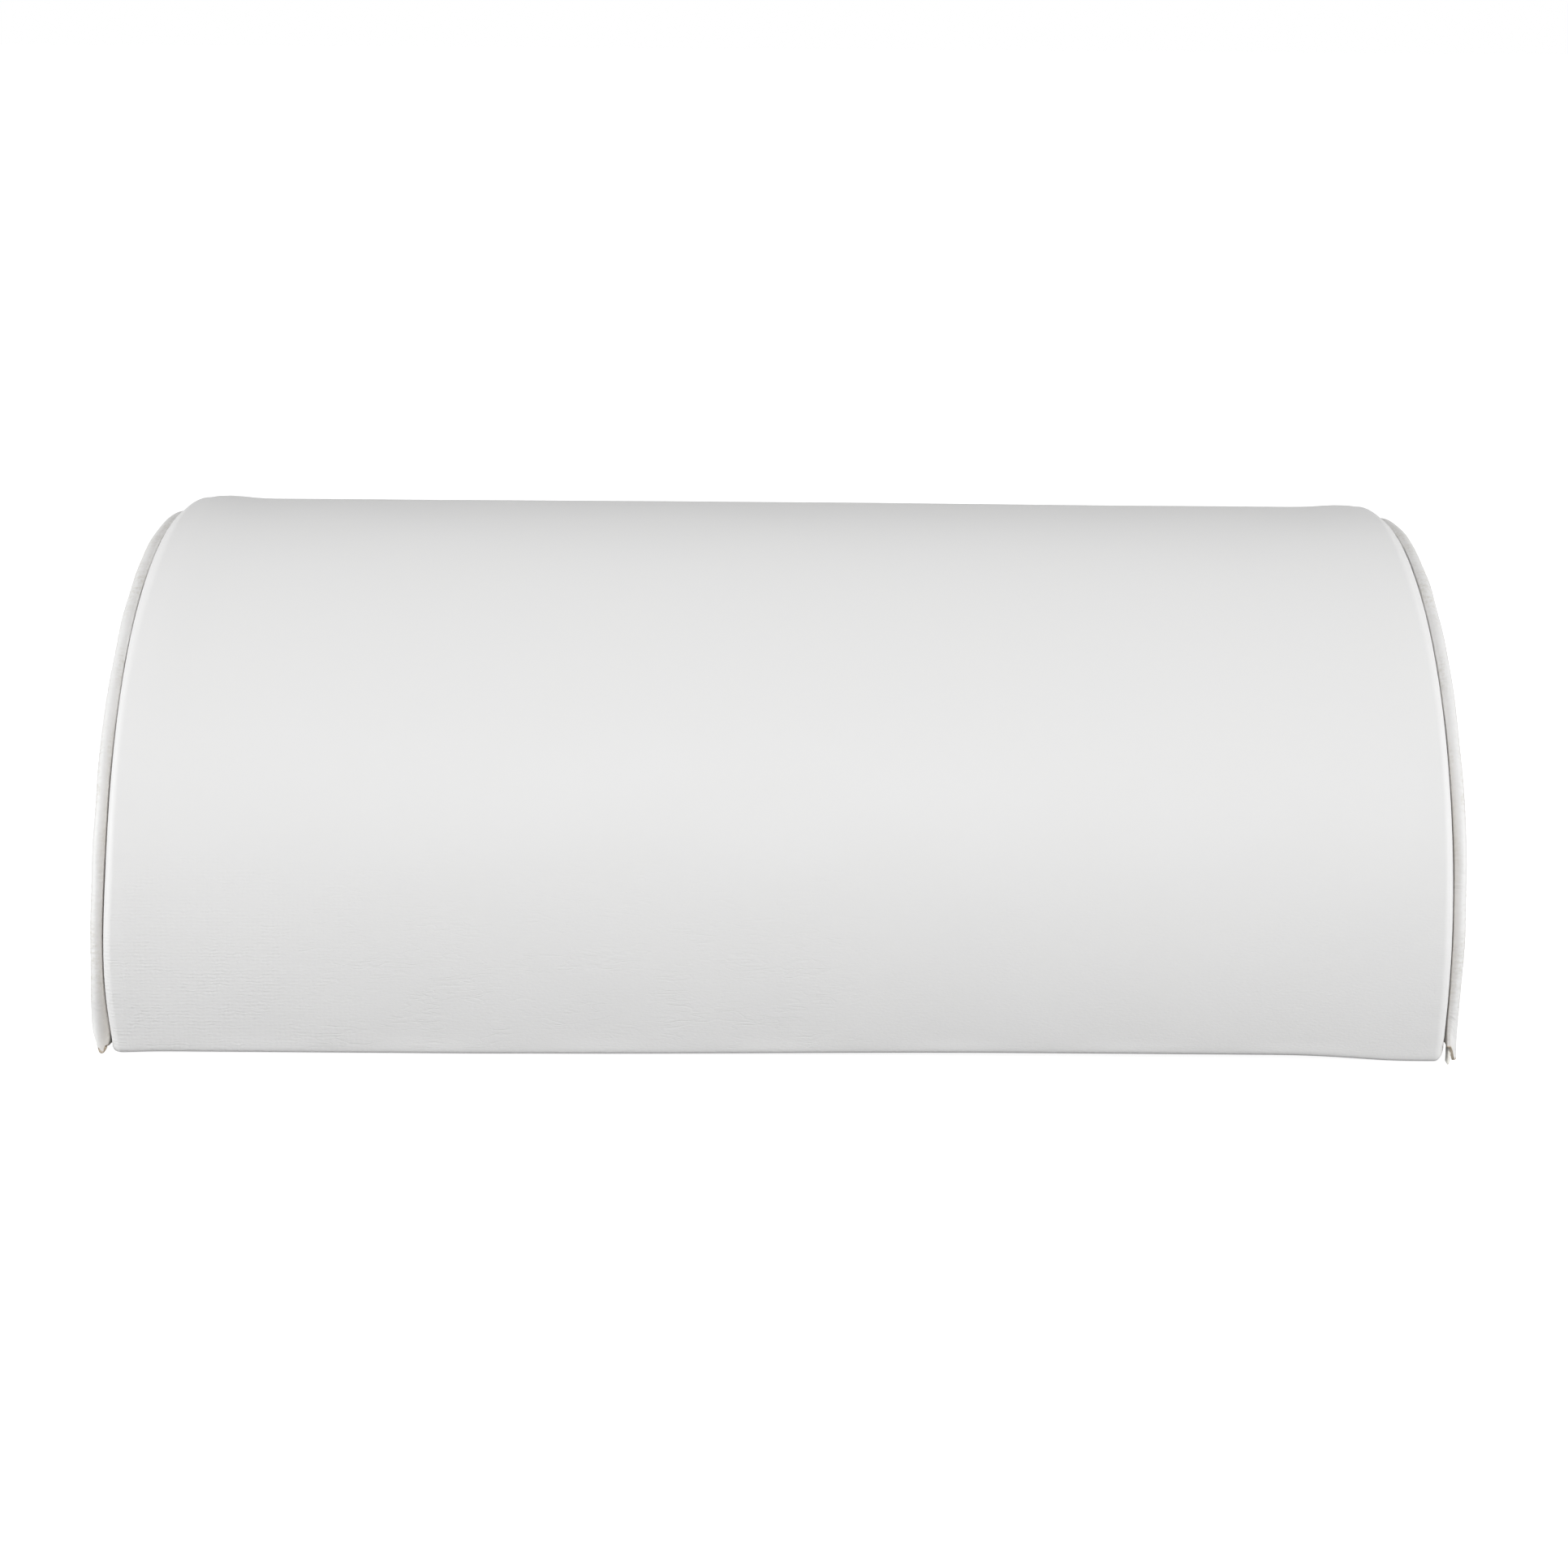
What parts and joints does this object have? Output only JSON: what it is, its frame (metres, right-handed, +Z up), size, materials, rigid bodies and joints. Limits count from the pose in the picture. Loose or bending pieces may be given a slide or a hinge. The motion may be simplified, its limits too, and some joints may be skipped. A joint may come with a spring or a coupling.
{
  "type": "half-round bolster",
  "caption": "Half-cylinder foam bolster in a white coated-fabric cover, with piped seams around its flat ends and a flat stapled underside.",
  "frame": {"origin": "middle of the flat underside, on the axis of the arch", "axes": "+X along the arch from its left end to its right end, +Y from the front to the back, +Z up to the crown of the arch"},
  "size_m": [0.3, 0.2, 0.1],
  "materials": {
    "white_skin": "satin coated fabric with a fine grain",
    "piping_skin": "satin coated fabric, slightly warmer than the panels",
    "filler_cord": "white twisted filler cord",
    "foam": "open-cell foam",
    "plywood": "unfinished plywood",
    "black_cloth": "black non-woven cloth with a bonded dot pattern",
    "staple_wire": "galvanised wire"
  },
  "bodies": {
    "root": {"foam_core": "foam", "base_board": "plywood", "cover_panel": "white_skin", "dust_cloth": "black_cloth", "end_panel_right": "white_skin", "end_panel_left": "white_skin", "piping_strip_right": "piping_skin", "piping_strip_left": "piping_skin", "piping_cord_right": "filler_cord", "piping_cord_left": "filler_cord", "hem_staple_front_1": "staple_wire", "hem_staple_front_2": "staple_wire", "hem_staple_front_3": "staple_wire", "hem_staple_front_4": "staple_wire", "hem_staple_front_5": "staple_wire", "hem_staple_front_6": "staple_wire", "hem_staple_front_7": "staple_wire", "hem_staple_back_1": "staple_wire", "hem_staple_back_2": "staple_wire", "hem_staple_back_3": "staple_wire", "hem_staple_back_4": "staple_wire", "hem_staple_back_5": "staple_wire", "hem_staple_back_6": "staple_wire", "hem_staple_back_7": "staple_wire", "hem_staple_left_1": "staple_wire", "hem_staple_left_2": "staple_wire", "hem_staple_left_3": "staple_wire", "hem_staple_left_4": "staple_wire", "hem_staple_right_1": "staple_wire", "hem_staple_right_2": "staple_wire", "hem_staple_right_3": "staple_wire", "hem_staple_right_4": "staple_wire", "cloth_staple_front_1": "staple_wire", "cloth_staple_front_2": "staple_wire", "cloth_staple_front_3": "staple_wire", "cloth_staple_front_4": "staple_wire", "cloth_staple_front_5": "staple_wire", "cloth_staple_front_6": "staple_wire", "cloth_staple_back_1": "staple_wire", "cloth_staple_back_2": "staple_wire", "cloth_staple_back_3": "staple_wire", "cloth_staple_back_4": "staple_wire", "cloth_staple_back_5": "staple_wire", "cloth_staple_back_6": "staple_wire", "cloth_staple_left_1": "staple_wire", "cloth_staple_left_2": "staple_wire", "cloth_staple_left_3": "staple_wire", "cloth_staple_right_1": "staple_wire", "cloth_staple_right_2": "staple_wire", "cloth_staple_right_3": "staple_wire"}
  },
  "joints": []
}
